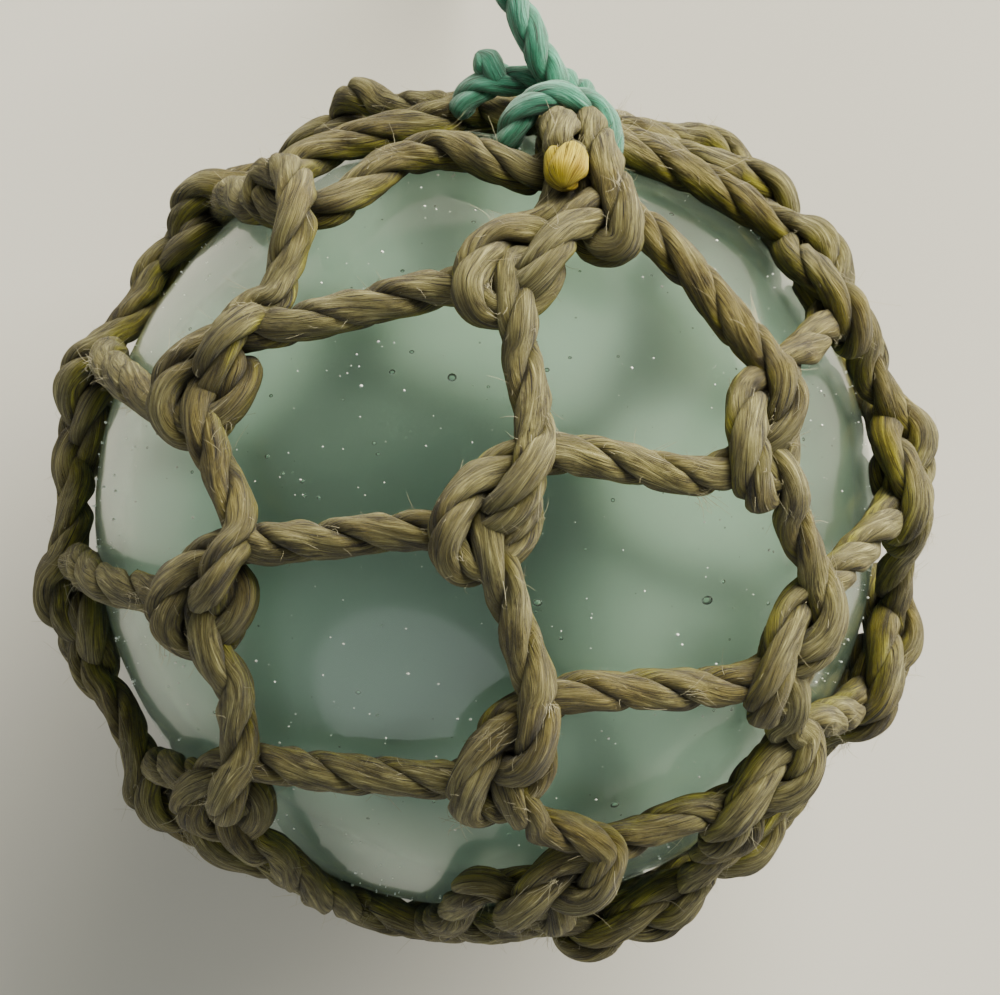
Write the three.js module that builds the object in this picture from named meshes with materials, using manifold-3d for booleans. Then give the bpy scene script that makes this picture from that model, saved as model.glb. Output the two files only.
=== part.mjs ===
// A blown glass fishing float in its knotted rope net, with the green twine it was hung by.
// Millimetres, +Z up. The float lies on a flat spot of its net, with the tie of the net
// towards +Y. The origin is on the ground under the middle of the glass.
import * as THREE from 'three'
import { mergeVertices } from 'three/addons/utils/BufferGeometryUtils.js'
import Module from 'manifold-3d'

const wasm = await Module()
wasm.setup()

// Glass ball
const glassDiameter = 90
const sealDiameter = 14
const sealHeight = 1.2
const sealTurn = 141
const sealLift = -55
const glassSlices = 28
const glassRings = 18

// Rope of the net, laid up from two strands, and the small gap left between rope and glass
const ropeDiameter = 4.4
const ropeGap = 0.45
const ropeSides = 5
const cornerShare = 1.1
const legStep = 10
const shortestLeg = 5.5
const joinTolerance = 0.02
const flatDepth = 2

// Layout of the knots: a spiral lattice about the axis of the net
const netTurn = 10.5
const netLift = 10
const firstKnotAngle = 82.3
const rowDrop = 27.85
const rowTwist = 8.5
const legsDown = 5
const legsAcross = 8
const topKnotAngle = 25
const bottomKnotAngle = 152
const backTwist = -21
const tieClearance = 15

// Knots at the front, as degrees to the right of the middle and up from it
const frontKnots = {
  '0,0': [-1, -1],
  '1,0': [1, -34],
  '2,0': [7, -58],
  '-1,0': [2, 33],
  '-2,1': [-28, 47],
  '-1,1': [-39, 16],
  '0,1': [-39, -11],
  '1,1': [-37, -40],
  '0,-1': [36, 8],
  '1,-1': [40, -20],
  '2,-1': [35, -41],
  '-1,-1': [18, 43],
}

// Where the net is gathered: the tie near its top, and the starting ring at its bottom
const tieTurn = 10.2
const tieLift = 22.7
const gatherRadius = 7.4
const gatherHeight = 3.8
const startRingRadius = 11

// Green twine of the hitch and of the hanging loop
const twineDiameter = 3.6
const twineSides = 8
const twineGap = 0.3
const loopKnotDiameter = 8.4
const loopKnotLength = 9

const glassRadius = glassDiameter / 2
const ropeRadius = ropeDiameter / 2
const twineRadius = twineDiameter / 2
const ropeCorner = ropeRadius * cornerShare
const ropeCourse = glassRadius + ropeGap + ropeCorner
const middleHeight = ropeCourse + ropeRadius - flatDepth
const middle = new THREE.Vector3(0, 0, middleHeight)

const rad = THREE.MathUtils.degToRad
const key = (m, n) => `${m},${n}`

// Directions from the middle of the glass
function bearing(turn, lift) {
  const across = Math.sin(rad(turn)) * Math.cos(rad(lift))
  const along = Math.cos(rad(turn)) * Math.cos(rad(lift))
  return new THREE.Vector3(across, along, Math.sin(rad(lift)))
}

function facing(right, up) {
  const x = Math.sin(rad(right))
  const y = Math.sin(rad(up))
  return new THREE.Vector3(x, y, Math.sqrt(1 - x * x - y * y))
}

// A frame on the ball: out from it, front towards +Z, side to the right of that
function frameAt(out) {
  const front = new THREE.Vector3(0, 0, 1).addScaledVector(out, -out.z).normalize()
  const side = new THREE.Vector3().crossVectors(out, front)
  return { out, front, side }
}

// A point over the ball: steps along two directions of a frame, and out from the rope's course
function over(out, right, up, across, along, rise) {
  const point = out.clone().multiplyScalar(ropeCourse)
  point.addScaledVector(right, across).addScaledVector(up, along)
  return point.setLength(ropeCourse + rise)
}

// Knots of the net
const net = frameAt(bearing(netTurn, netLift))
const tie = frameAt(bearing(tieTurn, tieLift))
const start = frameAt(net.out.clone().negate())

function latticeDirection(m, n) {
  const legDrop = legsDown * rowDrop / legsAcross
  const legTwist = (legsDown * rowTwist - 360) / legsAcross
  const down = rad(firstKnotAngle + m * rowDrop + n * legDrop)
  const around = rad(m * rowTwist + n * legTwist)
  const twisted = around + rad(backTwist) * (1 - Math.cos(around)) / 2
  return net.out.clone().multiplyScalar(Math.cos(down))
    .addScaledVector(net.front, Math.sin(down) * Math.cos(twisted))
    .addScaledVector(net.side, Math.sin(down) * Math.sin(twisted))
}

// The same knot is reached again after legsDown rows down and legsAcross rows back
function sameKnot(m, n) {
  const turns = Math.floor((m + 2) / legsDown)
  return [m - turns * legsDown, n + turns * legsAcross]
}

const knots = new Map()
const frontPlaces = new Map()
for (const [name, place] of Object.entries(frontKnots)) {
  frontPlaces.set(key(...sameKnot(...name.split(',').map(Number))), place)
}
for (let m = -2; m < legsDown - 2; m += 1) {
  for (let n = -12; n <= 12; n += 1) {
    const angle = firstKnotAngle + m * rowDrop + n * legsDown * rowDrop / legsAcross
    if (angle < topKnotAngle || angle > bottomKnotAngle) continue
    const place = frontPlaces.get(key(m, n))
    const out = place ? facing(...place) : latticeDirection(m, n)
    if (out.distanceTo(tie.out) * ropeCourse < tieClearance) continue
    knots.set(key(m, n), { m, n, out })
  }
}
const knotAt = (m, n) => knots.get(key(...sameKnot(m, n)))
for (const knot of knots.values()) {
  const above = knotAt(knot.m - 1, knot.n)?.out ?? tie.out
  const below = knotAt(knot.m + 1, knot.n)?.out ?? start.out
  const up = above.clone().sub(below)
  knot.up = up.addScaledVector(knot.out, -up.dot(knot.out)).normalize()
  knot.right = new THREE.Vector3().crossVectors(knot.up, knot.out)
}

// The two runs of rope through a knot, in rope diameters: to the right, up, and out.
// One comes from above, over the other, and leaves to the left. The other comes from the
// right, wraps round the first and leaves downwards.
const overRun = [[1.34, 1.9, 0.6], [1.08, 1.1, 1.05], [0.6, 0.35, 0.55], [0, 0, 0], [-1.5, -0.14, 0]]
const wrapRun = [[2.2, 1.75, 0], [0.7, 1.5, 0], [-0.35, 0.75, 0.6], [-0.62, -0.25, 0.8], [-0.2, -0.95, 0.6],
  [0.78, -1.75, 0.1]]
// A knot next to the tie has both its ropes from above, side by side
const besideRun = [[0.1, 2.3, 0], [-0.25, 1.5, 0.2], ...wrapRun.slice(2)]

function knotPoints(knot, run) {
  return run.map(([right, up, out]) => over(knot.out, knot.right, knot.up,
    right * ropeDiameter, up * ropeDiameter, out * ropeDiameter))
}

// Points between two others, on the rope's course over the glass
function legPoints(from, to) {
  const steps = Math.max(1, Math.round(from.distanceTo(to) / legStep))
  const points = []
  for (let step = 1; step < steps; step += 1) {
    points.push(from.clone().lerp(to, step / steps).setLength(ropeCourse))
  }
  return points
}

// Where a rope from a knot runs into a ring
function ringEnd(ring, radius, from) {
  const around = Math.atan2(from.dot(ring.front), from.dot(ring.side))
  return over(ring.out, ring.side, ring.front, radius * Math.cos(around), radius * Math.sin(around), 0)
}

// One rope from the tie, knot by knot in steps to the left and down, to the starting ring
function ropeFrom(knot, enters) {
  const first = enters === 'above' ? overRun : besideRun
  const points = [ringEnd(tie, gatherRadius - ropeRadius, knotPoints(knot, first)[0])]
  let at = knot
  let side = enters
  while (at) {
    const through = side === 'above' ? overRun : wrapRun
    const run = knotPoints(at, at === knot ? first : through)
    if (points.length > 1 && points.at(-1).distanceTo(run[0]) < shortestLeg) points.pop()
    points.push(...legPoints(points.at(-1), run[0]), ...run)
    const last = at
    at = side === 'above' ? knotAt(last.m, last.n + 1) : knotAt(last.m + 1, last.n)
    if (!at) {
      const end = ringEnd(start, startRingRadius, run.at(-1))
      points.push(...legPoints(points.at(-1), end), end)
    }
    side = side === 'above' ? 'right' : 'above'
  }
  return points
}

// A tube whose corners are exactly the points given
class Run extends THREE.Curve {
  constructor(points) {
    super()
    this.points = points
  }

  getPoint(share, target = new THREE.Vector3()) {
    const place = share * (this.points.length - 1)
    const before = Math.min(Math.floor(place), this.points.length - 2)
    return target.copy(this.points[before]).lerp(this.points[before + 1], place - before)
  }

  getPointAt(share, target) {
    return this.getPoint(share, target)
  }

  getTangentAt(share, target = new THREE.Vector3()) {
    const place = Math.round(share * (this.points.length - 1))
    const before = this.points[Math.max(place - 1, 0)]
    const after = this.points[Math.min(place + 1, this.points.length - 1)]
    return target.copy(after).sub(before).normalize()
  }
}

function sectionShape(radius, sides) {
  const corners = []
  for (let side = 0; side < sides; side += 1) {
    const angle = 2 * Math.PI * side / sides
    corners.push(new THREE.Vector2(radius * Math.cos(angle), radius * Math.sin(angle)))
  }
  return new THREE.Shape(corners)
}

function tube(points, radius, sides) {
  const path = new Run(points)
  return new THREE.ExtrudeGeometry(sectionShape(radius, sides), {
    steps: points.length - 1,
    extrudePath: path,
  })
}

// Solids that are joined and cut
function solid(geometry) {
  const bare = geometry.clone()
  bare.deleteAttribute('normal')
  bare.deleteAttribute('uv')
  const merged = mergeVertices(bare, 1e-4)
  return new wasm.Manifold(new wasm.Mesh({
    numProp: 3,
    vertProperties: new Float32Array(merged.attributes.position.array),
    triVerts: new Uint32Array(merged.index.array),
    tolerance: joinTolerance,
  }))
}

function joined(solids) {
  return solids.reduce((whole, piece) => whole.add(piece))
}

// The outer skin of a joined body, with the small pockets inside it filled
function filled(body) {
  return body.decompose().reduce((best, piece) => (piece.volume() > best.volume() ? piece : best))
}

function geometryOf(body) {
  const mesh = body.getMesh()
  const geometry = new THREE.BufferGeometry()
  geometry.setAttribute('position', new THREE.BufferAttribute(mesh.vertProperties, 3))
  geometry.setIndex(new THREE.BufferAttribute(mesh.triVerts, 1))
  return geometry
}

// Glass: a ball with the flat seal that closed its blowpipe hole
function glassBall() {
  const ball = new THREE.SphereGeometry(glassRadius, glassSlices, glassRings)
  const seal = frameAt(bearing(sealTurn, sealLift))
  const rim = sealDiameter / 2
  const sealTop = glassRadius + sealHeight
  const profile = [[0, glassRadius - 2 * rim], [rim, glassRadius - 2 * rim], [rim, glassRadius - sealHeight],
    [rim * 0.72, sealTop - 0.1], [0, sealTop]]
  const pad = new THREE.LatheGeometry(profile.map(([x, y]) => new THREE.Vector2(x, y)), 16)
  pad.applyQuaternion(new THREE.Quaternion().setFromUnitVectors(new THREE.Vector3(0, 1, 0), seal.out))
  return solid(ball).add(solid(pad))
}

// Net: every rope that starts at the tie
function netTubes() {
  const bodies = []
  const lay = (points) => bodies.push(solid(tube(points, ropeCorner, ropeSides)))
  for (const knot of knots.values()) {
    if (!knotAt(knot.m - 1, knot.n)) lay(ropeFrom(knot, 'above'))
    if (!knotAt(knot.m, knot.n - 1)) lay(ropeFrom(knot, 'right'))
  }
  return bodies
}

function ringSolid(frame, radius, sides) {
  const ring = new THREE.TorusGeometry(radius, ropeRadius, ropeSides, sides)
  ring.applyQuaternion(new THREE.Quaternion().setFromUnitVectors(new THREE.Vector3(0, 0, 1), frame.out))
  const lift = Math.sqrt(ropeCourse ** 2 - radius ** 2)
  return solid(ring.translate(...frame.out.clone().multiplyScalar(lift).toArray()))
}

// The turns of closing rope round the gathered ends, as one low dome
function gatherSolid() {
  const foot = ropeCourse - ropeRadius * 0.7
  const profile = [[0, foot], [gatherRadius * 0.9, foot], [gatherRadius, ropeCourse + ropeRadius / 4],
    [gatherRadius * 0.86, ropeCourse + gatherHeight * 0.65], [gatherRadius * 0.45, ropeCourse + gatherHeight],
    [0, ropeCourse + gatherHeight]]
  const dome = new THREE.LatheGeometry(profile.map(([x, y]) => new THREE.Vector2(x, y)), 12)
  return solid(dome.applyQuaternion(new THREE.Quaternion().setFromUnitVectors(new THREE.Vector3(0, 1, 0), tie.out)))
}

// Points near the tie: to the side, to the front and out from the rope's course, in millimetres
function atTie(places) {
  return places.map(([side, front, out]) => tie.out.clone().multiplyScalar(ropeCourse + out)
    .addScaledVector(tie.side, side).addScaledVector(tie.front, front))
}

const tailPlaces = [[0.3, 4, 2.6], [0.8, 8.5, 2.2], [1, 12.5, 0.6], [1.1, 16, -1.4]]

// The twine of the hitch goes over the gathered ropes in two arches. A cut end stands up
// from one, and the hanging twine leaves from between them.
const nearArch = [[-5.4, 3.4, -0.2], [-4.8, 3.3, 2], [-2.8, 3.1, 3.8], [0.2, 2.8, 4.3], [3.2, 2.8, 3.6],
  [5.2, 3, 1.8], [5.9, 3.3, -0.2]]
const farArch = [[-9.4, -2.2, -0.4], [-9, -2.2, 1.8], [-7, -2.5, 4], [-4, -2.8, 5], [-0.8, -2.2, 5.6],
  [1.6, -0.4, 5.2], [3, 2.4, 3.8]]
const cutEnd = [[-7.4, -2.3, 3.6], [-9.9, -2.5, 6.6]]
const leaving = [[0.04, 0.4, 3.5], [-3.9, -0.9, 8.5]]

function hitchSolid(radius) {
  const runs = [nearArch, farArch, cutEnd, leaving]
  return joined(runs.map((places) => solid(tube(atTie(places), radius, twineSides))))
}

// Course of the hanging twine, in millimetres from the point on the ground under the middle:
// out from the hitch, down, along the ground to the knot, and round the hanging loop
const hangingRoute = [[3.8, 55.4, 69.3], [2.4, 58.7, 69.2], [0.9, 62.1, 67.6], [-0.6, 65.2, 64],
  [-1.7, 67.8, 57.8], [-2.4, 69.3, 49.5], [-2.8, 70.2, 40.5], [-3, 70.9, 31.5], [-3, 71.8, 22.8],
  [-2.7, 73.6, 14.6], [-2.1, 77.4, 7.6], [-1.2, 83.4, 3.3], [-0.2, 90.5, 2.4], [0.8, 97.6, 3.6]]
const knotPlace = [1.1, 108, 4.25]
const loopRoute = [[-1.3, 117.6, 3.9], [-3.7, 122.5, 2.4], [-7.2, 127.5, 1.85], [-9.4, 133, 1.85],
  [-9.6, 139, 1.85], [-6.8, 144.4, 1.85], [-1.6, 147.4, 1.85], [4.4, 147, 1.85], [9.6, 143.6, 1.85],
  [12, 138, 1.85], [11.4, 132, 1.85], [9, 126.8, 1.85], [5.9, 122, 2.4], [3.5, 117.4, 3.9]]
const fromGround = ([x, y, z]) => new THREE.Vector3(x, y, z - middleHeight)

function hangingSolid() {
  const [from, exit] = atTie(leaving)
  const away = exit.clone().sub(from).normalize()
  const knotFace = fromGround([knotPlace[0], knotPlace[1] - loopKnotLength / 2 - twineGap, knotPlace[2]])
  return tube([exit.addScaledVector(away, twineGap), ...hangingRoute.map(fromGround), knotFace],
    twineRadius, twineSides)
}

function loopSolid() {
  const face = knotPlace[1] + loopKnotLength / 2 + twineGap
  const apart = twineRadius + twineGap / 2
  const first = fromGround([knotPlace[0] - apart, face, knotPlace[2]])
  const last = fromGround([knotPlace[0] + apart, face, knotPlace[2]])
  return tube([first, ...loopRoute.map(fromGround), last], twineRadius, twineSides)
}

function loopKnotSolid() {
  const half = loopKnotLength / 2
  const radius = loopKnotDiameter / 2
  const profile = [[0, -half], [radius * 0.85, -half], [radius, -half * 0.45], [radius * 0.93, 0],
    [radius, half * 0.45], [radius * 0.95, half], [0, half]]
  const knot = new THREE.LatheGeometry(profile.map(([x, y]) => new THREE.Vector2(x, y)), 12)
  return knot.translate(...fromGround(knotPlace).toArray())
}

const tubes = netTubes()
tubes.push(ringSolid(start, startRingRadius, 16))
tubes.push(gatherSolid())
tubes.push(solid(tube(atTie(tailPlaces), ropeRadius, 6)))
const ground = new THREE.BoxGeometry(4 * glassDiameter, 4 * glassDiameter, glassDiameter)
ground.translate(0, 0, -middleHeight - glassDiameter / 2)
const wholeNet = filled(joined(tubes).subtract(solid(ground)).subtract(hitchSolid(twineRadius + twineGap)))

// The object
const glassMaterial = new THREE.MeshStandardMaterial({ color: 0x9fbfae, roughness: 0.08, metalness: 0 })
const ropeMaterial = new THREE.MeshStandardMaterial({ color: 0xa89a72, roughness: 0.9, metalness: 0 })
const twineMaterial = new THREE.MeshStandardMaterial({ color: 0x2f8a68, roughness: 0.7, metalness: 0 })

const float = new THREE.Group()
float.position.copy(middle)

function add(name, geometry, material) {
  const mesh = new THREE.Mesh(geometry, material)
  mesh.name = name
  float.add(mesh)
}

add('glass_float', geometryOf(glassBall()), glassMaterial)
add('rope_net', geometryOf(wholeNet), ropeMaterial)
add('twine_hitch', geometryOf(hitchSolid(twineRadius)), twineMaterial)
add('hanging_twine', hangingSolid(), twineMaterial)
add('loop_knot', loopKnotSolid(), twineMaterial)
add('hanging_loop', loopSolid(), twineMaterial)

export default float
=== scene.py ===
import math
import random

import bmesh
import bpy
import numpy as np
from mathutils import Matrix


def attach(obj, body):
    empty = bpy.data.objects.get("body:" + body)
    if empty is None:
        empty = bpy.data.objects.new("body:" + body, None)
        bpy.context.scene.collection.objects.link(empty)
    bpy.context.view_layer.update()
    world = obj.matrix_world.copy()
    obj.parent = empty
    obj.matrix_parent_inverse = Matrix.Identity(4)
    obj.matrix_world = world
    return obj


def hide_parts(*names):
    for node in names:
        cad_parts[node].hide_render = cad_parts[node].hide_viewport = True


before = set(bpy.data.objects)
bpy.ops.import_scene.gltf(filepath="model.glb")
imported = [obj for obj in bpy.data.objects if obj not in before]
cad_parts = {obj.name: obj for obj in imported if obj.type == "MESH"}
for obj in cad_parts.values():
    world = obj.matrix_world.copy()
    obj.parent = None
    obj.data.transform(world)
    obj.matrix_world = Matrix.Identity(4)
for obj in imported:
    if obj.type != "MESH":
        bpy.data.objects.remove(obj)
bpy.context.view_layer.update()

# Blown glass fishing float in a knotted rope net, lying on a flat spot of its net. Metres, +Z up.
# The tie of the net is towards +Y, and the green twine is laid out from it along the floor.

# Camera: straight above the middle of the ball, with the hanging twine towards the top of the picture.
# Its shifts place the ball in the picture as the photo does.
middle = np.array([0, 0, 0.04807])
camera_height = 0.4

camera_data = bpy.data.cameras.new("camera")
camera_data.lens = 124.13
camera_data.sensor_width = 36
camera_data.shift_x = 0.015
camera_data.shift_y = 0.0195
camera = bpy.data.objects.new("camera", camera_data)
camera.location = (0, 0, middle[2] + camera_height)
bpy.context.scene.collection.objects.link(camera)
bpy.context.scene.camera = camera

# Hanging twine: green twine of two strands that the float was hung by. It leaves the hitch on the
# net's tie, lies along the floor, and ends in a loop below a knot in the doubled twine.
twine_diameter = 0.0036
twine_pitch = 0.0098
twine_sides = 14
twine_depth = 0.32
tie_turn = 10.2
tie_lift = 22.7
course_radius = 0.04787
hanging_route = [
    [3.8, 55.4, 69.3], [2.4, 58.7, 69.2], [0.9, 62.1, 67.6], [-0.6, 65.2, 64], [-1.7, 67.8, 57.8],
    [-2.4, 69.3, 49.5], [-2.8, 70.2, 40.5], [-3, 70.9, 31.5], [-3, 71.8, 22.8], [-2.7, 73.6, 14.6],
    [-2.1, 77.4, 7.6], [-1.2, 83.4, 3.3], [-0.2, 90.5, 2.4], [0.8, 97.6, 3.6], [1.1, 103.2, 4.25]]
loop_route = [
    [-0.85, 112.8, 4.25], [-1.3, 117.6, 3.9], [-3.7, 122.5, 2.4], [-7.2, 127.5, 1.85], [-9.4, 133, 1.85],
    [-9.6, 139, 1.85], [-6.8, 144.4, 1.85], [-1.6, 147.4, 1.85], [4.4, 147, 1.85], [9.6, 143.6, 1.85],
    [12, 138, 1.85], [11.4, 132, 1.85], [9, 126.8, 1.85], [5.9, 122, 2.4], [3.5, 117.4, 3.9],
    [3.05, 112.8, 4.25]]
knot_middle = [1.1, 108, 4.25]


def unit(vector):
    return vector / np.linalg.norm(vector)


def bearing(turn, lift):
    """Direction from the middle of the ball: a turn from +Y towards +X, and a lift above the level."""
    turn, lift = math.radians(turn), math.radians(lift)
    return np.array([math.sin(turn) * math.cos(lift), math.cos(turn) * math.cos(lift), math.sin(lift)])


def frame_at(out):
    """On the ball: the way out, the way to the front (up in the picture's depth) and the side."""
    front = unit(np.array([0, 0, 1]) - out * out[2])
    return out, front, np.cross(out, front)


tie = frame_at(bearing(tie_turn, tie_lift))


def at_tie(places):
    """Points near the tie, from millimetres to its side, to its front and out from the rope's course."""
    out, front, side = tie
    return [middle + out * (course_radius + rise / 1000) + side * across / 1000 + front * along / 1000
            for across, along, rise in places]


def smooth_course(points, step):
    """Points a step apart on a smooth line through the ones given."""
    fine_steps = 16
    places = np.array(points, float)
    places = np.vstack([2 * places[0] - places[1], places, 2 * places[-1] - places[-2]])
    fine = []
    for p0, p1, p2, p3 in zip(places, places[1:], places[2:], places[3:]):
        gaps = [np.linalg.norm(b - a) ** 0.5 + 1e-9 for a, b in ((p0, p1), (p1, p2), (p2, p3))]
        t0, t1, t2, t3 = np.cumsum([0] + gaps)
        t = np.linspace(t1, t2, fine_steps, endpoint=False)[:, None]
        a1 = ((t1 - t) * p0 + (t - t0) * p1) / (t1 - t0)
        a2 = ((t2 - t) * p1 + (t - t1) * p2) / (t2 - t1)
        a3 = ((t3 - t) * p2 + (t - t2) * p3) / (t3 - t2)
        b1 = ((t2 - t) * a1 + (t - t0) * a2) / (t2 - t0)
        b2 = ((t3 - t) * a2 + (t - t1) * a3) / (t3 - t1)
        fine.append(((t2 - t) * b1 + (t - t1) * b2) / (t2 - t1))
    fine = np.vstack(fine + [places[-2][None]])
    along = np.concatenate([[0], np.cumsum(np.linalg.norm(np.diff(fine, axis=0), axis=1))])
    stations = np.linspace(0, along[-1], max(4, round(along[-1] / step) + 1))
    return np.stack([np.interp(stations, along, fine[:, axis]) for axis in range(3)], axis=1), stations


def carried_frames(course):
    """Tangents, and normals that turn with the course and no more."""
    tangents = np.gradient(course, axis=0)
    tangents /= np.linalg.norm(tangents, axis=1)[:, None]
    normal = unit(np.cross(tangents[0], [0.31, 0.22, 0.93]))
    normals = []
    for tangent in tangents:
        normal = unit(normal - tangent * np.dot(normal, tangent))
        normals.append(normal)
    normals = np.array(normals)
    return tangents, normals, np.cross(tangents, normals)


def wander(stations, spacing, chance):
    """A smooth random line from -1 to 1 along a course."""
    count = int(stations[-1] / spacing) + 3
    values = chance.uniform(-1, 1, count)
    places = stations / spacing
    before = places.astype(int)
    share = places - before
    share = share * share * (3 - 2 * share)
    return values[before] * (1 - share) + values[before + 1] * share


# How a strand wavers along its rope: the metres from one turn to the next, and how much it changes. Its
# ends close over closing_length, in its own depths.
slip_spacing = 0.011
slip_turn = 0.35
swell_spacing = 0.006
swell_share = 0.09
fine_swell_spacing = 0.0021
fine_swell_share = 0.04
ridge_spacing = 0.012
ridge_drift = 2.2
ridge_share = 0.034
lift_spacing = 0.008
lift_share = 0.1
closing_length = 1.2
blunt_end = 0.03


def strand_mesh(course, stations, offset, pitch, phase, wide, deep, sides, chance):
    """One strand of a laid rope. Its own lines run along the rope, as the fibres of a strand do."""
    rings = len(course)
    tangents, normals, binormals = carried_frames(course)
    bm = bmesh.new()
    bmesh.ops.create_grid(bm, x_segments=rings - 1, y_segments=sides, size=1)
    mesh = bpy.data.meshes.new("strand")
    bm.to_mesh(mesh)
    bm.free()
    flat = np.empty(len(mesh.vertices) * 3)
    mesh.vertices.foreach_get("co", flat)
    flat = flat.reshape(-1, 3)
    ring = np.rint((flat[:, 0] + 1) / 2 * (rings - 1)).astype(int)
    side = np.rint((flat[:, 1] + 1) / 2 * sides).astype(int)
    angle = 2 * np.pi * (side % sides) / sides
    slip = wander(stations, slip_spacing, chance) * slip_turn
    turn = (2 * np.pi * stations / pitch + phase + slip)[ring]
    swell = 1 + swell_share * wander(stations, swell_spacing, chance)
    swell = (swell + fine_swell_share * wander(stations, fine_swell_spacing, chance))[ring]
    ridges = np.zeros(len(ring))
    for lobes in (3, 5, 8):
        drift = wander(stations, ridge_spacing, chance) * ridge_drift
        ridges += np.cos(lobes * angle + drift[ring] + lobes) * ridge_share / lobes ** 0.35
    ends = np.minimum(stations, stations[-1] - stations) / (deep * closing_length)
    closing = np.sqrt(np.clip(ends, blunt_end, 1))[ring]
    from_offset = angle - turn
    radius = wide * deep / np.sqrt((wide * np.cos(from_offset)) ** 2 + (deep * np.sin(from_offset)) ** 2)
    radius = radius * swell * (1 + ridges) * closing
    lift = offset * (1 + lift_share * wander(stations, lift_spacing, chance))[ring] * closing
    across = np.cos(turn) * lift + np.cos(angle) * radius
    along = np.sin(turn) * lift + np.sin(angle) * radius
    place = course[ring] + normals[ring] * across[:, None] + binormals[ring] * along[:, None]
    place[:, 2] = np.maximum(place[:, 2], 0)
    mesh.vertices.foreach_set("co", place.ravel())
    # Painted light: how far each point faces the ball's middle, used for painted light and shade on the side
    # towards the glass
    sunk = place - course[ring]
    inwards = middle - course[ring]
    depth = (sunk * inwards).sum(axis=1) / np.linalg.norm(sunk, axis=1) / np.linalg.norm(inwards, axis=1)
    glass_side_light = mesh.attributes.new("glass_side_light", "FLOAT", "POINT")
    glass_side_light.data.foreach_set("value", np.clip(0.5 + 0.85 * depth, 0, 1))
    # Painted shade: the side of each strand that faces the rope's axis, in the groove between the strands
    groove_shade = mesh.attributes.new("groove_shade", "FLOAT", "POINT")
    groove_shade.data.foreach_set("value", np.clip(-np.cos(from_offset) * 1.4 - 0.1, 0, 1))
    lay = mesh.uv_layers.new(name="lay")
    corner_vertices = np.empty(len(mesh.loops), dtype=np.int32)
    mesh.loops.foreach_get("vertex_index", corner_vertices)
    uv = np.stack([stations[ring] * 100, side / sides + phase], axis=1)[corner_vertices]
    lay.data.foreach_set("uv", uv.ravel())
    return mesh


# A strand's place and half width, in rope diameters
strand_offset = 0.195
strand_width = 0.425


def laid_rope(name, points, diameter, pitch, material, seed, sides=16, step=0.0004, deep=0.285):
    """A rope of two strands that goes through the points given, with closed ends."""
    chance = np.random.default_rng(seed)
    course, stations = smooth_course(points, step)
    bm = bmesh.new()
    for strand in range(2):
        mesh = strand_mesh(course, stations, strand_offset * diameter, pitch, strand * math.pi,
                           strand_width * diameter, deep * diameter, sides, chance)
        bm.from_mesh(mesh)
        bpy.data.meshes.remove(mesh)
    bmesh.ops.remove_doubles(bm, verts=bm.verts, dist=1e-7)
    open_edges = [edge for edge in bm.edges if edge.is_boundary]
    bmesh.ops.holes_fill(bm, edges=open_edges, sides=0)
    bmesh.ops.recalc_face_normals(bm, faces=bm.faces)
    for face in bm.faces:
        face.smooth = True
    mesh = bpy.data.meshes.new(name)
    bm.to_mesh(mesh)
    bm.free()
    piece = bpy.data.objects.new(name, mesh)
    bpy.context.scene.collection.objects.link(piece)
    mesh.materials.append(material)
    return piece, course


def add_node(nodes, kind, inputs=None, **settings):
    """A shader node with its settings and plain input values."""
    node = nodes.new(kind)
    for setting, value in settings.items():
        setattr(node, setting, value)
    for socket, value in (inputs or {}).items():
        node.inputs[socket].default_value = value
    return node


def colour_ramp(nodes, stops):
    """A ramp through the colours given, each at its place from 0 to 1."""
    ramp = nodes.new("ShaderNodeValToRGB")
    elements = ramp.color_ramp.elements
    elements[0].position, elements[1].position = stops[0][0], stops[-1][0]
    elements[0].color, elements[1].color = (*stops[0][1], 1), (*stops[-1][1], 1)
    for place, colour in stops[1:-1]:
        elements.new(place).color = (*colour, 1)
    return ramp


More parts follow.
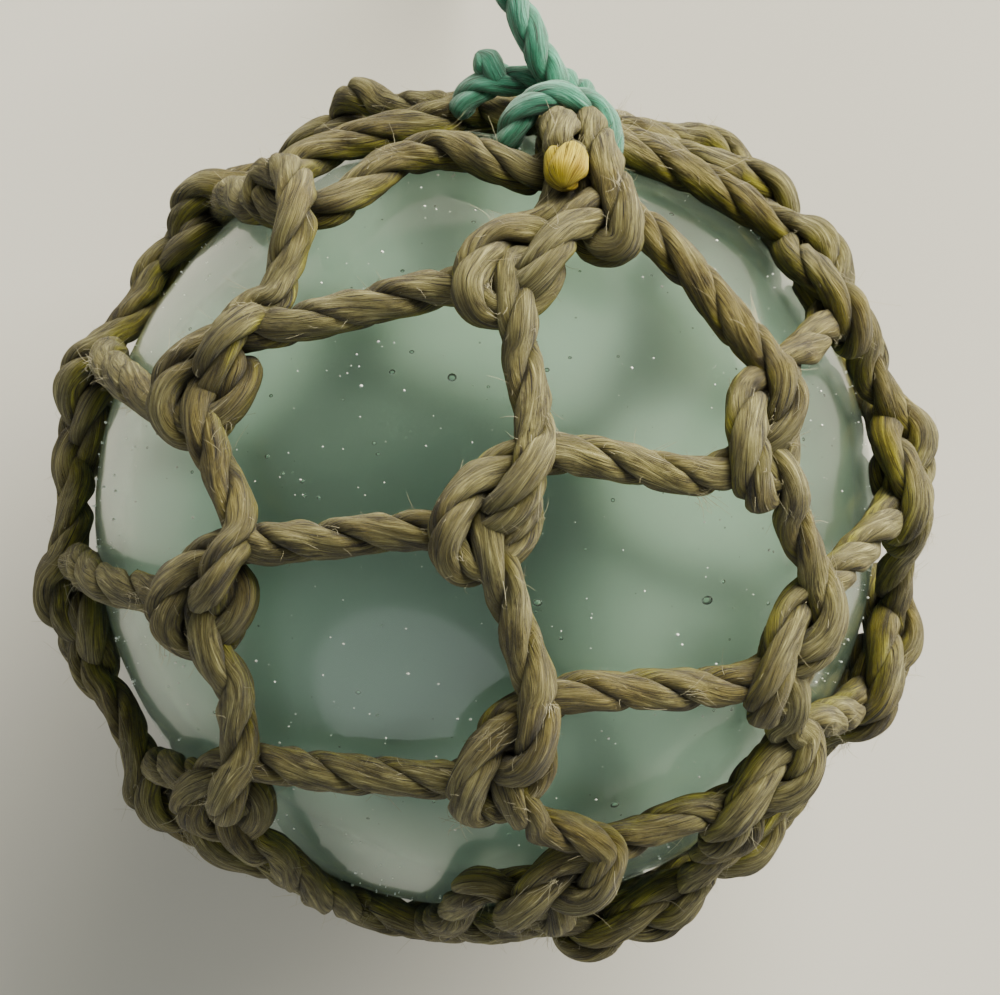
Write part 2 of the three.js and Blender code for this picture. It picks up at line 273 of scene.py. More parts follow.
def fibre_material(name, streaks, stain, stain_and_glass_side_light_colour, dirt_colour, dirt_share, groove_shade_colour, roughness,
                   sheen, bump_depth):
    """Fibres in the colours of streaks, with stains and dirt in patches, painted shade in the grooves, and
    painted light and shade on the side towards the glass.
    """
    material = bpy.data.materials.new(name)
    material.use_nodes = True
    nodes, links = material.node_tree.nodes, material.node_tree.links
    shader = nodes["Principled BSDF"]
    shader.inputs["Roughness"].default_value = roughness
    shader.inputs["Sheen Weight"].default_value = sheen
    shader.inputs["Sheen Roughness"].default_value = 0.5
    shader.inputs["Specular IOR Level"].default_value = 0.3
    lay = add_node(nodes, "ShaderNodeUVMap", uv_map="lay")
    place = add_node(nodes, "ShaderNodeTexCoord")

    def noise(stretch, inputs):
        laid = add_node(nodes, "ShaderNodeMapping", {"Scale": stretch})
        links.new(lay.outputs["UV"], laid.inputs["Vector"])
        texture = add_node(nodes, "ShaderNodeTexNoise", inputs)
        links.new(laid.outputs["Vector"], texture.inputs["Vector"])
        return texture.outputs["Fac"]

    def ramp_of(value, stops):
        ramp = colour_ramp(nodes, stops)
        links.new(value, ramp.inputs["Fac"])
        return ramp.outputs["Color"]

    def mixed(kind, factor, first, second):
        mix = add_node(nodes, "ShaderNodeMix", {"Factor": 1.0}, data_type="RGBA", blend_type=kind)
        if factor:
            links.new(factor, mix.inputs["Factor"])
        for socket, value in (("A", first), ("B", second)):
            if isinstance(value, tuple):
                mix.inputs[socket].default_value = (*value, 1)
            else:
                links.new(value, mix.inputs[socket])
        return mix.outputs["Result"]

    tone = noise((1.1, 14, 1), {"Scale": 1.5, "Detail": 5, "Roughness": 0.68, "Distortion": 0.4})
    hairs = noise((1.5, 60, 1), {"Scale": 2.2, "Detail": 4, "Roughness": 0.65, "Distortion": 0.25})
    slits = noise((0.8, 26, 1), {"Scale": 2.4, "Detail": 2, "Roughness": 0.5, "Distortion": 0.3})
    dirt = noise((1.3, 4.2, 1), {"Scale": 1.7, "Detail": 5, "Roughness": 0.72})
    colour = ramp_of(tone, streaks)
    hair_shade = ramp_of(hairs, [(0.36, (0.34, 0.3, 0.25)), (0.54, (1, 1, 1))])
    colour = mixed("MULTIPLY", None, colour, hair_shade)
    patches = add_node(nodes, "ShaderNodeTexNoise", {"Scale": 75, "Detail": 3, "Roughness": 0.55})
    links.new(place.outputs["Object"], patches.inputs["Vector"])
    stained = ramp_of(patches.outputs["Fac"], [(0.46, (0, 0, 0)), (0.62, (1, 1, 1))])
    colour = mixed("MULTIPLY", stained, colour, stain)
    # Painted light and shade on the side towards the glass, mixed with the stain patches: yellow-green light
    # through the fibres on the net's rope
    glass_side_light = add_node(nodes, "ShaderNodeAttribute", attribute_name="glass_side_light")
    shade_line = add_node(nodes, "ShaderNodeMath", {1: 0.55}, operation="MULTIPLY_ADD")
    links.new(patches.outputs["Fac"], shade_line.inputs[0])
    links.new(glass_side_light.outputs["Fac"], shade_line.inputs[2])
    stain_and_glass_side_light = ramp_of(shade_line.outputs["Value"], [(0.55, (0, 0, 0)), (0.9, (1, 1, 1))])
    colour = mixed("MIX", stain_and_glass_side_light, colour, mixed("MULTIPLY", None, colour, stain_and_glass_side_light_colour))
    clean = 1 - dirt_share
    dirt_shade = ramp_of(dirt, [(clean - 0.06, (1, 1, 1)), (clean + 0.1, dirt_colour)])
    colour = mixed("MULTIPLY", None, colour, dirt_shade)
    slit_shade = ramp_of(slits, [(0.35, (0.1, 0.08, 0.06)), (0.4, (1, 1, 1))])
    colour = mixed("MULTIPLY", None, colour, slit_shade)
    groove_shade = add_node(nodes, "ShaderNodeAttribute", attribute_name="groove_shade")
    # Painted shade: ambient occlusion and the grooves between strands darken the colour towards the groove
    # colour
    shade = add_node(nodes, "ShaderNodeAmbientOcclusion", {"Distance": 0.0018}, samples=4)
    groove_shade_mask = add_node(nodes, "ShaderNodeMath", operation="MAXIMUM")
    links.new(groove_shade.outputs["Fac"], groove_shade_mask.inputs[0])
    links.new(ramp_of(shade.outputs["AO"], [(0.25, (1, 1, 1)), (0.75, (0, 0, 0))]), groove_shade_mask.inputs[1])
    colour = mixed("MULTIPLY", groove_shade_mask.outputs["Value"], colour, groove_shade_colour)
    links.new(colour, shader.inputs["Base Color"])
    height = add_node(nodes, "ShaderNodeMath", operation="ADD")
    links.new(tone, height.inputs[0])
    links.new(hairs, height.inputs[1])
    bump = add_node(nodes, "ShaderNodeBump", {"Strength": 1.0, "Distance": bump_depth})
    links.new(height.outputs["Value"], bump.inputs["Height"])
    links.new(bump.outputs["Normal"], shader.inputs["Normal"])
    return material


# The twine's colour for the side towards the glass is partly stain and partly painted shade
twine_material = fibre_material(
    # Its groove colour is painted shade
    "green_twine",
    streaks=[(0.3, (0.015, 0.14, 0.08)), (0.46, (0.05, 0.32, 0.2)), (0.6, (0.14, 0.5, 0.35)),
             (0.72, (0.45, 0.75, 0.62))],
    stain=(0.7, 0.9, 0.85), stain_and_glass_side_light_colour=(0.6, 0.85, 0.75), dirt_colour=(0.7, 0.8, 0.75), dirt_share=0.4,
    groove_shade_colour=(0.3, 0.4, 0.35), roughness=0.5, sheen=0.4, bump_depth=0.00025)

leaving = at_tie([[0.7, 0.6, 3.2], [-1.9, -0.25, 6], [-3.9, -0.9, 8.5]])
hanging_path = leaving + [np.array(point) / 1000 for point in hanging_route + loop_route]
hanging_twine, hanging_course = laid_rope(
    "green_hanging_twine", hanging_path, twine_diameter, twine_pitch, twine_material, seed=11,
    sides=twine_sides, step=0.0005, deep=twine_depth)
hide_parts("hanging_twine", "hanging_loop")
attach(hanging_twine, "root")

# Knot of the loop: the doubled twine is tied in one overhand knot, drawn tight. Its turns are
# millimetres from the knot's middle.
knot_turns = [
    [-1.9, -4.2, 0.2], [-2.4, -2, 1.6], [-0.6, -0.9, 2.9], [1.8, 0.2, 2.2], [2.6, 1.6, -0.2],
    [1.2, 2.4, -2.3], [-1.4, 1.6, -2.4], [-2.6, 0.4, -0.6], [-2, 0.8, 1.9], [0.4, 2, 2.8], [2.4, 3, 1.4],
    [2, 4, -0.4]]
knot_path = [(np.array(knot_middle) + np.array(turn)) / 1000 for turn in knot_turns]
loop_knot, _ = laid_rope(
    "green_loop_knot", knot_path, twine_diameter, twine_pitch, twine_material, seed=12, sides=twine_sides)
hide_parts("loop_knot")
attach(loop_knot, "root")

# Glass ball: blown by hand from pale sea-green glass full of seeds, hollow, and closed with a
# small seal of glass where it came off the blowpipe.
glass_radius = 0.045
wall = 0.0034
seal_radius = 0.007
seal_height = 0.0012
seal_out = bearing(141, -55)

glass_material = bpy.data.materials.new("sea_green_glass")
glass_material.use_nodes = True
glass_shader = glass_material.node_tree.nodes["Principled BSDF"]
glass_shader.inputs["Base Color"].default_value = (0.83, 0.965, 0.885, 1)
glass_shader.inputs["Roughness"].default_value = 0.12
glass_shader.inputs["IOR"].default_value = 1.45
glass_shader.inputs["Transmission Weight"].default_value = 1.0
haze_material = glass_material.copy()
haze_material.name = "sea_green_glass_hazed_inside"
haze_shader = haze_material.node_tree.nodes["Principled BSDF"]
haze_shader.inputs["Roughness"].default_value = 0.3
haze_shader.inputs["Transmission Weight"].default_value = 0.84
haze_shader.inputs["Base Color"].default_value = (0.68, 0.91, 0.82, 1)
# Dust and salt that sit on the glass
grain_material = glass_material.copy()
grain_material.name = "salt_grains"
grain_shader = grain_material.node_tree.nodes["Principled BSDF"]
grain_shader.inputs["Base Color"].default_value = (0.86, 0.9, 0.84, 1)
grain_shader.inputs["Roughness"].default_value = 0.5
grain_shader.inputs["Transmission Weight"].default_value = 0.0


def wave(points, scale, seed):
    """Slow random height over the ball, from about -1 to 1."""
    waves = 9
    chance = np.random.default_rng(seed)
    height = np.zeros(len(points))
    for octave in range(waves):
        way = chance.normal(size=3)
        way *= scale * (0.6 + 0.12 * octave) / np.linalg.norm(way)
        height += np.sin(points @ way + chance.uniform(0, 6.28)) / 3
    return height


def glass_wall(radius, detail, swing, seed, seal):
    """A closed sphere of glass surface, a little uneven."""
    bm = bmesh.new()
    bmesh.ops.create_icosphere(bm, subdivisions=detail, radius=radius)
    mesh = bpy.data.meshes.new("wall")
    bm.to_mesh(mesh)
    bm.free()
    flat = np.empty(len(mesh.vertices) * 3)
    mesh.vertices.foreach_get("co", flat)
    way = flat.reshape(-1, 3) / radius
    slow_scale, fine_scale, fine_share = 4, 11, 0.35
    height = swing * (wave(way, slow_scale, seed) + fine_share * wave(way, fine_scale, seed + 1))
    if seal:
        far = np.arccos(np.clip(way @ seal_out, -1, 1)) * radius / seal_radius
        # A flat dome with a soft edge, a little higher at its rim than in its middle
        dome = seal_height * np.clip(1.25 - far ** 3, 0, 1) * (0.8 + 0.2 * far)
        height = np.where(far < 1.3, height + dome, height)
    place = way * (radius + height)[:, None] + middle
    mesh.vertices.foreach_set("co", place.ravel())
    return mesh


def round_bodies(places, chance):
    """Small round bodies, drawn out a little, from their places off the ball's middle and their radii."""
    most_stretch = 0.4
    smooth_from = 0.00018
    bodies = bmesh.new()
    for place, size in places:
        stretch = 1 + most_stretch * chance.random()
        body = bmesh.ops.create_icosphere(bodies, subdivisions=2 if size > smooth_from else 1, radius=size)
        for vertex in body["verts"]:
            vertex.co.x *= stretch
            vertex.co = [a + b for a, b in zip(vertex.co, middle + place)]
    mesh = bpy.data.meshes.new("round_bodies")
    bodies.to_mesh(mesh)
    bodies.free()
    return mesh


def random_way(chance):
    """A direction that may be any."""
    return unit(np.array([chance.gauss(0, 1) for _ in range(3)]))


seed_chance = random.Random(7)
# Seeds of air: a few big ones that the photo shows, in millimetres to the right, up and in radius,
# then many small ones
shown_seeds = [
    (-3.4, 14.4, 0.45), (5.4, -8.8, 0.4), (23.2, -8.7, 0.5), (13.8, -30.6, 0.4), (-0.5, -31.5, 0.35),
    (-1.4, -32, 0.25), (-9.6, 15, 0.28), (-17.2, 2, 0.2), (-2.7, 22.5, 0.22), (-18.7, 2.2, 0.22),
    (6.4, 15.2, 0.24), (-1.2, 31.2, 0.2), (-11, 6.5, 0.2), (-22.7, 6.3, 0.24), (-21, 4.5, 0.2)]
shown_depth = 0.0011
small_seeds = 700
least_seed = 0.00005
seed_range = 0.0002
seed_depth = 0.0006
depth_range = 0.002
seed_places = []
for right, up, size in shown_seeds:
    radius = glass_radius - shown_depth
    place = np.array([right / 1000, up / 1000, math.sqrt(radius ** 2 - (right ** 2 + up ** 2) / 1e6)])
    seed_places.append((place, size / 1000))
for _ in range(small_seeds):
    way = random_way(seed_chance)
    size = least_seed + seed_range * seed_chance.random() ** 3
    seed_places.append((way * (glass_radius - seed_depth - seed_chance.random() * depth_range), size))
# Grains of dust and salt sit on the outside
grain_count = 1200
grain_rise = 0.0001
least_grain = 0.00006
grain_range = 0.00012
grain_places = []
for _ in range(grain_count):
    way = random_way(seed_chance)
    size = least_grain + grain_range * seed_chance.random() ** 3
    grain_places.append((way * (glass_radius + grain_rise), size))

bm = bmesh.new()
bm.from_mesh(glass_wall(glass_radius - wall, detail=5, swing=0.00045, seed=31, seal=False))
inner_faces = len(bm.faces)
bm.from_mesh(round_bodies(seed_places, seed_chance))
# The inner wall and the seeds bound the glass from inside
bmesh.ops.reverse_faces(bm, faces=bm.faces)
hollow_faces = len(bm.faces)
bm.from_mesh(round_bodies(grain_places, seed_chance))
bm.faces.ensure_lookup_table()
haze_slot, grain_slot = 1, 2
for face in bm.faces[:inner_faces]:
    face.material_index = haze_slot
for face in bm.faces[hollow_faces:]:
    face.material_index = grain_slot
bm.from_mesh(glass_wall(glass_radius, detail=6, swing=0.00009, seed=21, seal=True))
for face in bm.faces:
    face.smooth = True
glass_mesh = bpy.data.meshes.new("blown_glass")
bm.to_mesh(glass_mesh)
bm.free()
blown_glass = bpy.data.objects.new("blown_glass", glass_mesh)
bpy.context.scene.collection.objects.link(blown_glass)
glass_mesh.materials.append(glass_material)
glass_mesh.materials.append(haze_material)
glass_mesh.materials.append(grain_material)
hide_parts("glass_float")
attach(blown_glass, "root")

# Net: rope of natural fibre in two strands, knotted into meshes that run in a spiral round the
# ball, gathered at the tie and closed round a ring at the far end.
rope_diameter = 0.0044
rope_pitch = 0.0165
rope_course = glass_radius + rope_diameter / 2
net_turn = 10.5
net_lift = 10
first_knot_angle = 82.3
row_drop = 27.85
row_twist = 8.5
legs_down = 5
legs_across = 8
first_row = -2
farthest_column = 12
top_knot_angle = 25
bottom_knot_angle = 152
back_twist = -21
tie_clearance = 0.015
gather_radius = 0.0035
ring_radius = 0.011
ring_steps = 14
leg_step = 0.012
# Knots that the picture shows, in degrees to the right and up, by their row and their place across it
front_knots = {
    (0, 0): (-1, -1), (1, 0): (1, -34), (2, 0): (7, -58), (-1, 0): (2, 33), (-2, 1): (-28, 47),
    (-1, 1): (-39, 16), (0, 1): (-39, -11), (1, 1): (-37, -40), (0, -1): (36, 8), (1, -1): (40, -20),
    (2, -1): (35, -41), (-1, -1): (17.5, 41.5)}

# The rope's colour for the side towards the glass is partly stain and partly painted yellow-green light
# through the fibres
rope_material = fibre_material(
    # Its groove colour is painted shade, tinted yellow-green
    "net_rope",
    streaks=[(0.3, (0.08, 0.066, 0.018)), (0.44, (0.17, 0.15, 0.047)), (0.58, (0.31, 0.285, 0.105)),
             (0.72, (0.66, 0.62, 0.31))],
    stain=(0.72, 0.66, 0.5), stain_and_glass_side_light_colour=(0.95, 1, 0.22), dirt_colour=(0.28, 0.25, 0.24),
    dirt_share=0.45, groove_shade_colour=(0.3, 0.28, 0.03), roughness=0.75, sheen=0.15, bump_depth=0.00045)

net_frame = frame_at(bearing(net_turn, net_lift))
start_frame = frame_at(-net_frame[0])


def facing(right, up):
    """Direction of what the picture shows so far right of the middle and up from it, in degrees."""
    x, y = math.sin(math.radians(right)), math.sin(math.radians(up))
    return np.array([x, y, math.sqrt(1 - x * x - y * y)])


def lattice_direction(m, n):
    """Direction of a knot that the picture doesn't show."""
    down = math.radians(first_knot_angle + m * row_drop + n * legs_down * row_drop / legs_across)
    around = math.radians(m * row_twist + n * (legs_down * row_twist - 360) / legs_across)
    twisted = around + math.radians(back_twist) * (1 - math.cos(around)) / 2
    out, front, side = net_frame
    level = front * math.cos(twisted) + side * math.sin(twisted)
    return out * math.cos(down) + level * math.sin(down)


def same_knot(m, n):
    """The same knot is reached again after legs_down rows down and legs_across rows back."""
    turns = (m - first_row) // legs_down
    return m - turns * legs_down, n + turns * legs_across


shown_places = {same_knot(*name): place for name, place in front_knots.items()}
knots = {}
for m in range(first_row, first_row + legs_down):
    for n in range(-farthest_column, farthest_column + 1):
        angle = first_knot_angle + m * row_drop + n * legs_down * row_drop / legs_across
        if not top_knot_angle <= angle <= bottom_knot_angle:
            continue
        out = facing(*shown_places[(m, n)]) if (m, n) in shown_places else lattice_direction(m, n)
        if np.linalg.norm(out - tie[0]) * rope_course >= tie_clearance:
            knots[(m, n)] = {"name": (m, n), "out": out}
for (m, n), knot in knots.items():
    above = knots.get(same_knot(m - 1, n), {"out": tie[0]})["out"]
    below = knots.get(same_knot(m + 1, n), {"out": start_frame[0]})["out"]
    up = above - below
    knot["up"] = unit(up - knot["out"] * np.dot(up, knot["out"]))
    knot["right"] = np.cross(knot["up"], knot["out"])

# The two runs of rope through a knot, in rope diameters: to the right, up, and out
over_run = [[1.34, 1.98, 0.35], [1.22, 1.4, 0.75], [0.98, 0.85, 0.82], [0.6, 0.35, 0.55], [0.1, 0, 0.02],
            [-0.82, -0.14, 0], [-1.5, -0.14, 0]]
wrap_run = [[2.2, 1.75, 0], [1.39, 1.66, 0], [0.6, 1.4, 0.1], [-0.1, 0.88, 0.45], [-0.56, 0.1, 0.75],
            [-0.62, -0.5, 0.6], [-0.3, -0.92, 0.3], [0.3, -0.85, 0.1], [0.98, -0.15, 0.05], [1.1, 0.5, 0],
            [0.5, 0.75, -0.05], [0.15, 0.2, 0.05], [0.36, -0.5, 0.42], [0.6, -1.15, 0.4], [0.78, -1.85, 0.12]]
beside_run = [[0.1, 2.3, 0], [-0.15, 1.6, 0.2]] + wrap_run[3:]


# Knots close to the tie are drawn out of shape by it, so their ropes have runs of their own: degrees to
# the right and up as the picture shows them, and rope diameters out
own_runs = {
    ((-1, -1), "right"): [
        (11.5, 63.5, 0.6), (13, 54, 0.9), (14, 47, 1), (15.5, 41.5, 1.05), (16.5, 37.5, 1), (17, 35, 0.75),
        (15.5, 35.5, 0.35), (14, 38, 0.05), (15, 42, -0.05), (18, 43.5, -0.05), (21, 40.5, 0.05),
        (24, 37, 0.1)],
    ((-1, -1), "above"): [(9.5, 66.5, 0.2), (10, 56.5, 0.15), (10, 49.5, 0.1), (9.5, 44.5, 0.05)],
    ((-1, 0), "right"): [
        (7.5, 40, 0.1), (4, 38, 0.3), (0.5, 35, 0.5), (-1.5, 31, 0.65), (-2, 28, 0.6), (-0.5, 26.5, 0.3),
        (2.5, 27, 0.1), (6.5, 30, 0.05), (8, 34.5, 0), (5.5, 37, -0.05), (3, 34, 0.05), (3.5, 28, 0.42),
        (4, 24, 0.4), (4.5, 20.5, 0.12)],
    ((-1, 0), "above"): [
        (11, 62, 0.5), (12.5, 55, 0.35), (14, 49.5, 0.15), (14, 44, 0.3), (12, 39, 0.7), (9, 35, 0.95),
        (7, 32, 0.9), (5.5, 30, 0.6), (3.5, 29.5, 0.1), (0, 30, -0.05), (-4, 30.5, 0)],
    ((-2, 1), "right"): [
        (9.5, 61.5, 0), (9, 54.5, -0.1), (6.5, 51, 0), (2.5, 53, 0.05), (-2, 56.5, 0), (-6.5, 58, 0),
        (-11.5, 55.5, 0), (-16.5, 49, 0), (-20, 45, 0.05), (-24.5, 44, 0), (-29, 45, 0.05),
        (-30.5, 46.5, 0.3), (-29, 48.5, 0.55), (-25, 47, 0.8), (-23, 42.5, 0.95), (-23, 38, 0.9),
        (-24.5, 35, 0.65), (-26, 32, 0.35), (-27.5, 28.5, 0.2)],
    ((-2, 1), "above"): [
        (3, 76, 0), (-1, 75, 0), (-6, 70, 0), (-13.5, 65, 0), (-20, 61, 0), (-25, 56, 0.1), (-28, 50, 0.1),
        (-31, 46, 0.1)]}


def over(out, right, up, across, along, rise):
    """A point over the ball, by steps to the right, up and out from the rope's course."""
    point = out * rope_course + right * across + up * along
    return unit(point) * (rope_course + rise)


def knot_points(knot, enters, drawn_in):
    """The run of one rope through a knot."""
    own = own_runs.get((knot["name"], enters))
    if own:
        return [facing(right, up) * (rope_course + rise * rope_diameter) for right, up, rise in own]
    run = over_run if enters == "above" else beside_run if drawn_in else wrap_run
    return [over(knot["out"], knot["right"], knot["up"], *(share * rope_diameter for share in step))
            for step in run]


def leg_points(start, end):
    """Points over the ball from one knot to the next."""
    steps = max(1, round(np.linalg.norm(end - start) / leg_step))
    return [unit(start + (end - start) * step / steps) * rope_course for step in range(1, steps)]


def ring_end(ring, radius, point):
    """Where a rope from a point runs into a ring."""
    out, front, side = ring
    around = math.atan2(np.dot(point, front), np.dot(point, side))
    return over(out, side, front, radius * math.cos(around), radius * math.sin(around), 0)


def rope_from(knot, enters):
    """One rope from the tie, knot by knot in steps to the left and down, to the starting ring."""
    points = [ring_end(tie, gather_radius, knot_points(knot, enters, True)[0])]
    at, way = knot, enters
    while at:
        run = knot_points(at, way, at is knot)
        points += leg_points(points[-1], run[0]) + run
        m, n = at["name"]
        step = (m, n + 1) if way == "above" else (m + 1, n)
        at = knots.get(same_knot(*step))
        if at is None:
            end = ring_end(start_frame, ring_radius, run[-1])
            points += leg_points(points[-1], end) + [end]
        way = "right" if way == "above" else "above"
    return [middle + point for point in points]


net_courses = []


def net_rope(name, points, seed):
    """A laid rope that is part of the net."""
    piece, course = laid_rope(name, points, rope_diameter, rope_pitch, rope_material, seed)
    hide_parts("rope_net")
    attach(piece, "root")
    net_courses.append(course)


first_rope_seed = 100
rope_count = 0
for (m, n), knot in knots.items():
    for enters, neighbour in (("above", (m - 1, n)), ("right", (m, n - 1))):
        if same_knot(*neighbour) not in knots:
            rope_count += 1
            net_rope(f"net_rope_{rope_count}", rope_from(knot, enters), first_rope_seed + rope_count)

ring_out, ring_front, ring_side = start_frame
ring_points = []
for turn in np.linspace(0, 2 * math.pi, ring_steps):
    across, along = ring_radius * math.cos(turn), ring_radius * math.sin(turn)
    ring_points.append(middle + over(ring_out, ring_side, ring_front, across, along, 0))
net_rope("net_start_ring", ring_points, seed=90)

# Tail of the net's rope: its cut end comes out of the tie towards the front. Its tip is dyed yellow, and
# swells a little where its strands are free.
tip_swell = 1.08
tail_places = [[0.1, 0, 0.8], [0.2, 6, 1.6], [0.7, 11, 2.8], [1.3, 15.5, 2.2], [1.6, 17.6, 1.3]]
tip_places = [[1.4, 15.8, 2.1], [1.8, 18.6, 0.9], [2.1, 21, -0.6]]
# The tip's colour for the side towards the glass is partly stain and partly painted light and shade
tip_material = fibre_material(
    # Its groove colour is painted shade
    "dyed_tip",
    streaks=[(0.3, (0.3, 0.22, 0.01)), (0.5, (0.62, 0.5, 0.03)), (0.7, (0.8, 0.7, 0.1))],
    stain=(0.8, 0.7, 0.5), stain_and_glass_side_light_colour=(0.8, 0.8, 0.3), dirt_colour=(0.7, 0.6, 0.4), dirt_share=0.35,
    groove_shade_colour=(0.6, 0.5, 0.2), roughness=0.7, sheen=0.1, bump_depth=0.0003)
net_rope("net_tail", at_tie(tail_places), seed=91)
tail_tip, _ = laid_rope(
    "net_tail_tip", at_tie(tip_places), rope_diameter * tip_swell, rope_pitch, tip_material, seed=92)
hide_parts("rope_net")
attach(tail_tip, "root")

# Hitch: the green twine of the loop is passed twice over the gathered ropes of the net and jammed there,
# with a short cut end.
hitch_diameter = 0.0033
first_hitch_seed = 60
near_arch = [
    [-4.8, 6, -2.6], [-4.9, 6, -0.9], [-4.2, 6, 1.6], [-2.4, 5.8, 3.8], [0.2, 5.6, 4.9], [3, 5.6, 4.4],
    [5.2, 5.8, 2.8], [6.1, 6, 0.6], [5.9, 6.2, -1.6]]
far_arch = [
    [-10.6, -2, -2], [-10.4, -2, 0.3], [-8.6, -2.2, 2.2], [-5.6, -2.4, 3.3], [-2.2, -2.2, 4],
    [0.8, -0.6, 4.4], [2.8, 2.2, 4]]
cut_end = [[-6, -2.3, 3], [-8, -2.4, 4.3], [-10, -2.5, 5.8]]
for seed, (name, places) in enumerate(
        [("hitch_near_turn", near_arch), ("hitch_far_turn", far_arch), ("hitch_cut_end", cut_end)]):
    turn_of_twine, _ = laid_rope(
        name, at_tie(places), hitch_diameter, twine_pitch, twine_material, first_hitch_seed + seed,
        sides=twine_sides, deep=twine_depth)
    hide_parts("twine_hitch")
    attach(turn_of_twine, "root")

# Fuzz: loose fibres of the rope stand out all along it. Most are short and single, and where a strand
# has chafed they stand up in tufts.
short_fibre_count = 5600
short_fibre_thickness = 0.00004
shortest_fibre = 0.0005
fibre_range = 0.0024
fibre_joints = 4
tuft_count = 110
tuft_thickness = 0.000045
tuft_width = 0.0004
shortest_in_tuft = 0.0008
tuft_range = 0.0017
tuft_joints = 6
curl_share = 0.7
root_depth = 0.42
lowest_fibre = 0.0001

fuzz_material = bpy.data.materials.new("loose_fibres")
fuzz_material.use_nodes = True
fuzz_nodes, fuzz_links = fuzz_material.node_tree.nodes, fuzz_material.node_tree.links
fuzz_shader = fuzz_nodes["Principled BSDF"]
fuzz_shader.inputs["Roughness"].default_value = 0.6
fuzz_place = add_node(fuzz_nodes, "ShaderNodeTexCoord")
fuzz_noise = add_node(fuzz_nodes, "ShaderNodeTexNoise", {"Scale": 220})
fuzz_ramp = colour_ramp(fuzz_nodes, [(0.35, (0.28, 0.25, 0.14)), (0.65, (0.6, 0.56, 0.38))])
fuzz_links.new(fuzz_place.outputs["Object"], fuzz_noise.inputs["Vector"])
fuzz_links.new(fuzz_noise.outputs["Fac"], fuzz_ramp.inputs["Fac"])
fuzz_links.new(fuzz_ramp.outputs["Color"], fuzz_shader.inputs["Base Color"])

fuzz_chance = np.random.default_rng(5)
all_points = np.vstack([course[:-1] for course in net_courses])
all_ways = np.vstack([np.diff(course, axis=0) for course in net_courses])


def fibre(root, way, away, length, lean, joints):
    """Points of one loose fibre that lifts off the rope and curls."""
    curl = unit(fuzz_chance.normal(size=3))
    shares = np.linspace(0, 1, joints)[:, None]
    straight = (way * (1 - lean * 0.5) + away * lean) * length * shares
    points = root + straight + curl * length * curl_share * shares ** 2
    points[:, 2] = np.maximum(points[:, 2], lowest_fibre)
    return points


def rope_side(pick):
    """A way along the rope, a way out of its side that isn't into the glass, and the point there."""
    way = unit(all_ways[pick]) * fuzz_chance.choice([-1, 1])
    away = fuzz_chance.normal(size=3)
    away = unit(away - way * np.dot(away, way))
    if np.dot(away, all_points[pick] - middle) < -0.2 * rope_course:
        away = -away
    return way, away, all_points[pick] + away * rope_diameter * root_depth


def fuzz_piece(name, fibres, thickness):
    """Fibres as thin tubes in one piece of the net."""
    curve = bpy.data.curves.new(name, "CURVE")
    curve.dimensions = "3D"
    curve.bevel_depth = thickness / 2
    curve.bevel_resolution = 0
    curve.use_fill_caps = True
    for points in fibres:
        spline = curve.splines.new("POLY")
        spline.points.add(len(points) - 1)
        for index, place in enumerate(points):
            spline.points[index].co = (*place, 1)
            spline.points[index].radius = 1 - 0.6 * index / len(points)
    holder = bpy.data.objects.new(name + "_curve", curve)
    mesh = bpy.data.meshes.new_from_object(holder)
    bpy.data.objects.remove(holder)
    mesh.name = name
    mesh.materials.clear()
    mesh.materials.append(fuzz_material)
    piece = bpy.data.objects.new(name, mesh)
    bpy.context.scene.collection.objects.link(piece)
    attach(piece, "root")


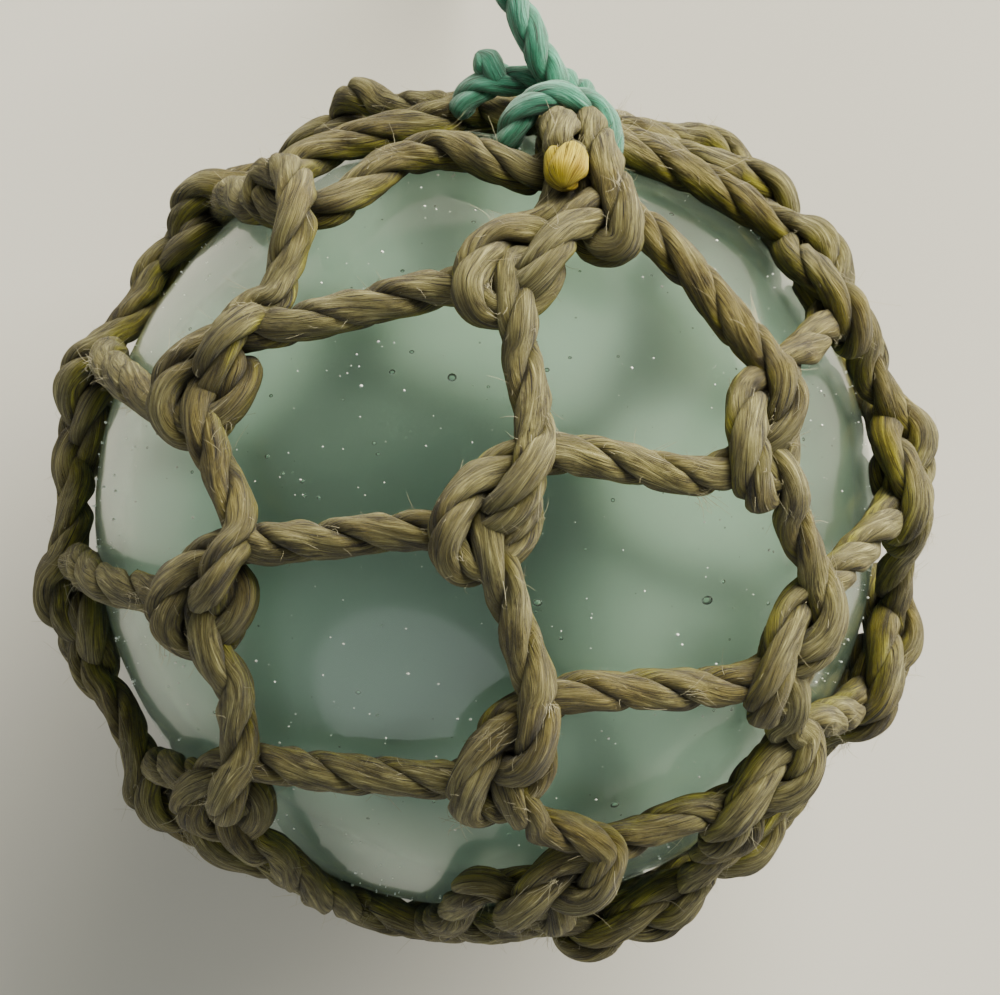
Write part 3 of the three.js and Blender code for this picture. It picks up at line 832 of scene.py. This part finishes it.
short_fibres = []
for _ in range(short_fibre_count):
    way, away, root = rope_side(fuzz_chance.integers(len(all_points)))
    length = shortest_fibre + fibre_range * fuzz_chance.random() ** 2.5
    lean = 0.05 + 0.8 * fuzz_chance.random() ** 1.5
    short_fibres.append(fibre(root, way, away, length, lean, fibre_joints))
fuzz_piece("rope_fuzz", short_fibres, short_fibre_thickness)
tufts = []
for _ in range(tuft_count):
    way, away, root = rope_side(fuzz_chance.integers(len(all_points)))
    for _ in range(fuzz_chance.integers(8, 26)):
        spread = fuzz_chance.normal(size=3) * tuft_width
        tilted = unit(away + 0.5 * fuzz_chance.normal(size=3))
        length = shortest_in_tuft + tuft_range * fuzz_chance.random() ** 2
        lean = 0.2 + 0.5 * fuzz_chance.random()
        tufts.append(fibre(root + spread, way, tilted, length, lean, tuft_joints))
fuzz_piece("rope_tufts", tufts, tuft_thickness)

# Studio: a plain pale floor, a soft key light from the upper right of the picture, a weak fill light and
# pale surroundings. The key light is parted in two, and only the weaker one is seen through the glass.
key_place = (0.68, 0.9, 0.42)
key_size = 1.5
key_colour = (1, 0.95, 0.82)
bm = bmesh.new()
bmesh.ops.create_grid(bm, x_segments=1, y_segments=1, size=3)
floor_mesh = bpy.data.meshes.new("floor")
bm.to_mesh(floor_mesh)
bm.free()
floor = bpy.data.objects.new("floor", floor_mesh)
bpy.context.scene.collection.objects.link(floor)
floor_material = bpy.data.materials.new("floor")
floor_material.use_nodes = True
floor_shader = floor_material.node_tree.nodes["Principled BSDF"]
floor_shader.inputs["Base Color"].default_value = (0.64, 0.62, 0.56, 1)
floor_shader.inputs["Roughness"].default_value = 0.8
floor_mesh.materials.append(floor_material)


def soft_light(name, place, size, power, colour):
    """A round lamp that faces the middle of the ball."""
    data = bpy.data.lights.new(name, "AREA")
    data.shape = "DISK"
    data.size = size
    data.energy = power
    data.color = colour
    light = bpy.data.objects.new(name, data)
    light.location = place
    out = np.array(place) - middle
    turn = math.atan2(out[1], out[0])
    tilt = math.acos(out[2] / np.linalg.norm(out))
    light.rotation_euler = (0, tilt, turn)
    bpy.context.scene.collection.objects.link(light)
    return light


key_light = soft_light("key_light", key_place, key_size, power=74, colour=key_colour)
key_light.visible_glossy = False
key_light.visible_transmission = False
through_light = soft_light("through_light", key_place, key_size, power=32, colour=key_colour)
through_light.visible_glossy = False
soft_light("fill_light", (-0.4, -0.95, 0.75), size=1.2, power=5, colour=(0.94, 0.97, 1))
world = bpy.data.worlds.new("studio")
world.use_nodes = True
surroundings = world.node_tree.nodes["Background"]
surroundings.inputs["Color"].default_value = (0.84, 0.85, 0.74, 1)
surroundings.inputs["Strength"].default_value = 0.33
bpy.context.scene.world = world

bpy.context.view_layer.update()
